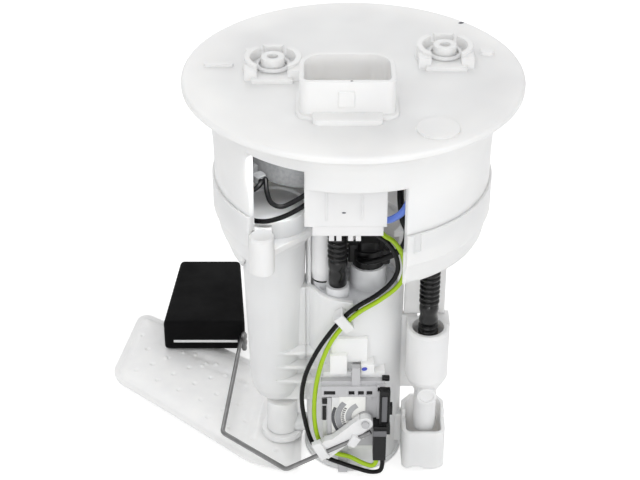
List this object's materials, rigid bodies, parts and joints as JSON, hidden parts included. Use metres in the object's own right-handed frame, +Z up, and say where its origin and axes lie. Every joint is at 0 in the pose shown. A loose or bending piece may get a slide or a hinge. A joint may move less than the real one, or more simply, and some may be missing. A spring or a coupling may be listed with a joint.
{
  "type": "electric fuel pump module",
  "caption": "In-tank electric fuel pump module: round flange with connector well and ports, pump and filter cases, level sender with float arm, hoses and strainer bag.",
  "frame": {"origin": "centre of the flange's seat face, where it rests on the tank's opening", "axes": "+Z up out of the tank, -Y towards the window with the harness plug, +X towards the jet tube"},
  "size_m": [0.2, 0.192, 0.2185],
  "materials": {
    "natural_plastic": "translucent natural white moulding",
    "white_plastic": "white moulding, satin",
    "grey_plastic": "light grey moulding",
    "gloss_grey": "glossy grey moulding",
    "dark_plastic": "dark conductive moulding",
    "black_plastic": "black moulding",
    "black_rubber": "black rubber",
    "steel": "drawn steel",
    "spring_steel": "spring wire",
    "brass": "plated brass",
    "magnet": "ferrite",
    "copper_core": "laminated core with windings",
    "carbon": "pressed carbon",
    "filter_paper": "pleated filter paper",
    "mesh": "woven nylon mesh",
    "ceramic": "white ceramic board",
    "resistor": "printed resistor ink",
    "float_foam": "closed-cell float",
    "wire_black": "black insulation",
    "wire_green": "yellow-green insulation",
    "wire_blue": "blue insulation"
  },
  "bodies": {
    "module": {"flange": "natural_plastic", "terminal_pins": "brass", "port_seals": "black_rubber", "upper_case": "natural_plastic", "harness_plug": "white_plastic", "terminal_block": "black_plastic", "outlet_manifold": "dark_plastic", "earth_boot": "dark_plastic", "supply_hose": "black_rubber", "return_hose": "black_rubber", "pump_case": "natural_plastic", "filter_case": "natural_plastic", "filter_cap": "grey_plastic", "filter_element": "filter_paper", "pump_holder": "gloss_grey", "pressure_regulator": "white_plastic", "regulator_ring": "black_rubber", "regulator_spring": "spring_steel", "pump_plug": "black_plastic", "pump_can": "steel", "outlet_bell": "black_plastic", "brushes": "carbon", "magnets": "magnet", "outlet_plate": "grey_plastic", "inlet_cover": "grey_plastic", "check_spring": "spring_steel", "pump_cushion": "black_rubber", "jet_tube": "white_plastic", "jet_nozzle": "grey_plastic", "scoop_cup": "natural_plastic", "suction_elbow": "natural_plastic", "strainer_frame": "white_plastic", "strainer_bag": "mesh", "sender_frame": "grey_plastic", "sender_board": "ceramic", "resistor_tracks": "resistor", "sender_plug": "black_plastic", "plug_latch": "grey_plastic", "wire_clip": "white_plastic", "sender_wire_black": "wire_black", "sender_wire_green": "wire_green", "blue_lead": "wire_blue", "pump_lead": "wire_black", "earth_leads": "wire_black"},
    "float_lever": {"sender_rotor": "white_plastic", "wiper": "brass", "float_arm": "steel", "float_block": "float_foam", "float_retainer": "white_plastic"},
    "motor_rotor": {"armature": "copper_core", "impeller": "carbon"},
    "check_poppet": {"check_valve": "black_rubber"},
    "relief_poppet": {"regulator_valve": "steel"}
  },
  "joints": [
    {"name": "float_swing", "type": "hinge", "parent": "module", "child": "float_lever", "pos_m": [0.007, -0.04, -0.1605], "axis": [0, 1, 0], "range_deg": [0, 45]},
    {"name": "motor_spin", "type": "hinge", "parent": "module", "child": "motor_rotor", "pos_m": [0.002, -0.006, -0.15], "axis": [0, 0, 1], "continuous": true},
    {"name": "check_lift", "type": "slide", "parent": "module", "child": "check_poppet", "axis": [0, 0, 1], "range_m": [0, 0.001], "stiffness_N_per_m": 60, "springref_m": -0.002, "deforming": ["check_spring"]},
    {"name": "relief_lift", "type": "slide", "parent": "module", "child": "relief_poppet", "axis": [0, 0, 1], "range_m": [0, 0.001], "stiffness_N_per_m": 400, "springref_m": -0.003, "deforming": ["regulator_spring"]}
  ]
}
